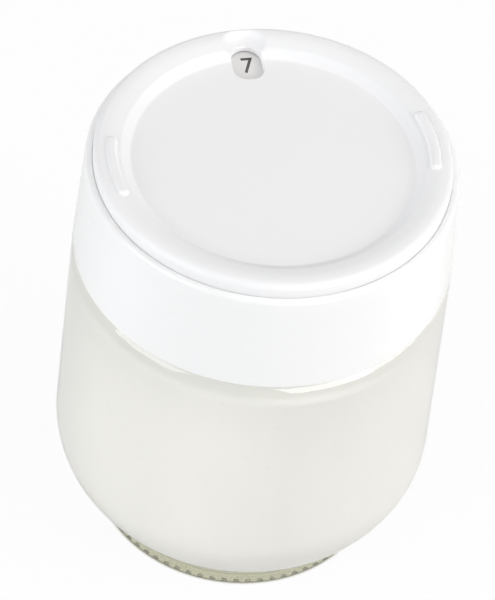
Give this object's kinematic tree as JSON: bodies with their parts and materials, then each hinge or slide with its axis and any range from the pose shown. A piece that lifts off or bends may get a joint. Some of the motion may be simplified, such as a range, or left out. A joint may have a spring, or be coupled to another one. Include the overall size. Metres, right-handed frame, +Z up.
{
  "type": "yogurt jar with date-dial lid",
  "caption": "Round glass portion jar of set yogurt with a rounded heel, a flush white screw lid and a turning date dial with a window on top.",
  "frame": {"origin": "centre of the foot ring, on the surface that the jar stands on", "axes": "+Z up along the axis of the jar, +Y towards the window of the dial, +X towards one grip rib"},
  "size_m": [0.0714, 0.0714, 0.0908],
  "materials": {
    "clear_glass": "clear pressed glass with a faint green tint",
    "set_yogurt": "smooth moist set yogurt",
    "liner_silicone": "translucent white silicone",
    "lid_white": "glossy white moulded polypropylene",
    "disc_print": "pale grey disc with dark printed numerals",
    "dial_white": "satin white moulded polypropylene"
  },
  "bodies": {
    "jar": {"glass_jar": "clear_glass", "yogurt": "set_yogurt"},
    "liner": {"lid_liner": "liner_silicone"},
    "lid": {"lid_cap": "lid_white", "date_disc": "disc_print"},
    "dial": {"dial_cover": "dial_white"}
  },
  "joints": [
    {"name": "lid_lift", "type": "slide", "parent": "jar", "child": "liner", "axis": [0, 0, 1], "range_m": [0, 0.03]},
    {"name": "lid_twist", "type": "hinge", "parent": "liner", "child": "lid", "pos_m": [0, 0, 0.0845], "axis": [0, 0, 1], "range_deg": [0, 900]},
    {"name": "dial_turn", "type": "hinge", "parent": "lid", "child": "dial", "pos_m": [0, 0, 0.0876], "axis": [0, 0, 1], "continuous": true}
  ],
  "couplings": [
    {"joint": "lid_lift", "follows": "lid_twist", "m_per_rad": 0.0019099}
  ]
}
